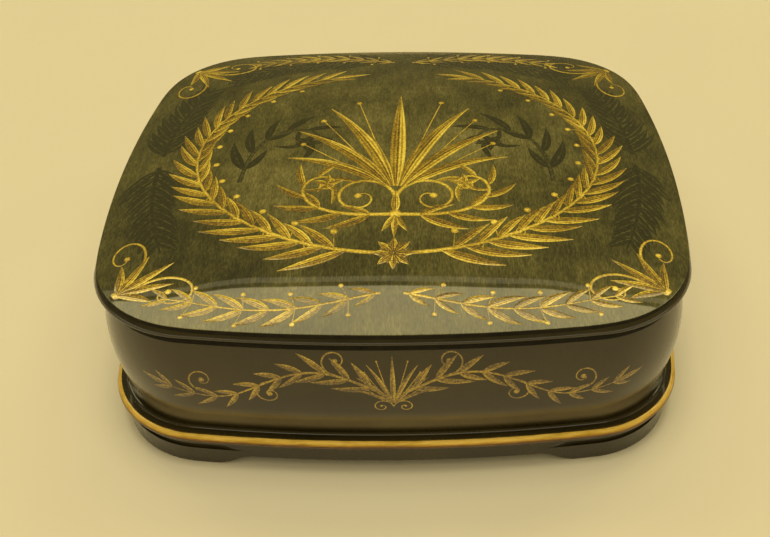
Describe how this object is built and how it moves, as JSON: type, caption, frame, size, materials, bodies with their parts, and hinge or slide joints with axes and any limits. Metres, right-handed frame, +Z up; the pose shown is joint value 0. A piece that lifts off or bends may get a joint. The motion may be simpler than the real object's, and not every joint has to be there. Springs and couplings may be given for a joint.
{
  "type": "lacquer box",
  "caption": "Low lidded lacquer box with bowed sides, a domed hinged lid, a gilt bead round the base and bracket feet.",
  "frame": {"origin": "centre of the bounding box in plan, on the plane that the feet stand on", "axes": "+Z up, -Y the front, where the lid opens, +Y the back with the hinge, +X to the right seen from the front"},
  "size_m": [0.1704, 0.155, 0.058],
  "materials": {
    "black_lacquer": "black gloss lacquer over papier-mache",
    "painted_lacquer": "olive and black painting under clear gloss lacquer over papier-mache",
    "red_lacquer": "red gloss lacquer over papier-mache",
    "gilding": "gold leaf over papier-mache",
    "brass": "plain brass"
  },
  "bodies": {
    "box": {"bottom_panel": "red_lacquer", "body_wall": "painted_lacquer", "inner_collar": "red_lacquer", "base_board": "black_lacquer", "gilt_bead": "gilding", "plinth": "black_lacquer", "body_hinge_leaf": "brass", "hinge_pin": "brass", "body_leaf_pins": "brass"},
    "lid": {"lid_panel": "painted_lacquer", "lid_rim": "black_lacquer", "lid_hinge_leaf": "brass", "lid_leaf_pins": "brass"}
  },
  "joints": [
    {"name": "lid_hinge", "type": "hinge", "parent": "box", "child": "lid", "pos_m": [0, 0.074, 0.04755], "axis": [-1, 0, 0], "range_deg": [0, 100]}
  ]
}
